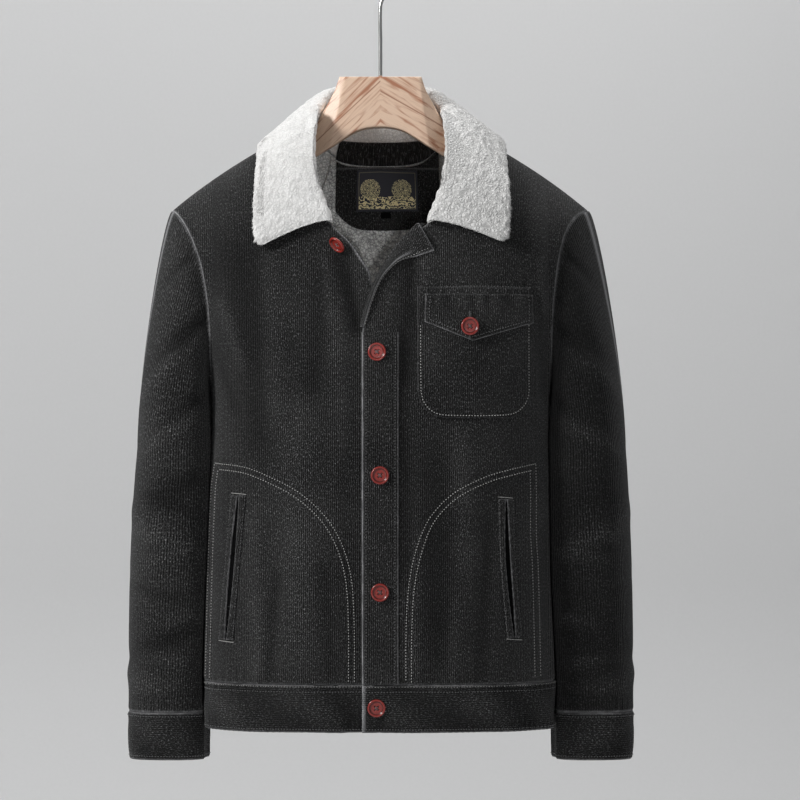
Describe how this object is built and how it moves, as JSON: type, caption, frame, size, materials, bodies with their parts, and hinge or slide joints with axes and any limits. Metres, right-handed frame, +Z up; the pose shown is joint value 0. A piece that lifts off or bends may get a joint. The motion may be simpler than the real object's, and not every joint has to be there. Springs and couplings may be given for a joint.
{
  "type": "sherpa lined jacket on a hanger",
  "caption": "Corduroy jacket with a fleece collar and lining, button front, chest pocket, slanted pockets and waistband, hanging hollow on a wooden hanger with a wire hook.",
  "frame": {"origin": "inner crown of the hanger's hook, where a rail carries it", "axes": "+Z up, the jacket's front faces -Y, +X is the wearer's left"},
  "size_m": [0.5704, 0.2113, 0.9139],
  "materials": {
    "corduroy": "charcoal needlecord, brushed pile, matt with a soft sheen on the ridges",
    "sherpa": "off-white curly fleece pile",
    "lining": "grey curly fleece pile",
    "label": "dark navy woven label with gold thread",
    "button": "brick red-brown polyester, polished, four holes",
    "wood": "pale ash with a clear satin lacquer",
    "steel": "bright drawn wire"
  },
  "bodies": {
    "root": {"front_left": "corduroy", "front_right": "corduroy", "back": "corduroy", "sleeve_left": "corduroy", "sleeve_right": "corduroy", "cuff_left": "corduroy", "cuff_right": "corduroy", "waistband": "corduroy", "placket": "corduroy", "lapel": "corduroy", "pocket": "corduroy", "pocket_flap": "corduroy", "left_pocket_lip_outer": "corduroy", "left_pocket_lip_inner": "corduroy", "right_pocket_lip_outer": "corduroy", "right_pocket_lip_inner": "corduroy", "collar": "sherpa", "stand_band": "corduroy", "neck_lining": "lining", "neck_facing": "corduroy", "neck_label": "label", "size_tag": "label", "button_1": "button", "button_2": "button", "button_3": "button", "button_4": "button", "button_5": "button", "pocket_button": "button", "hanger": "wood", "hook": "steel"}
  },
  "joints": []
}
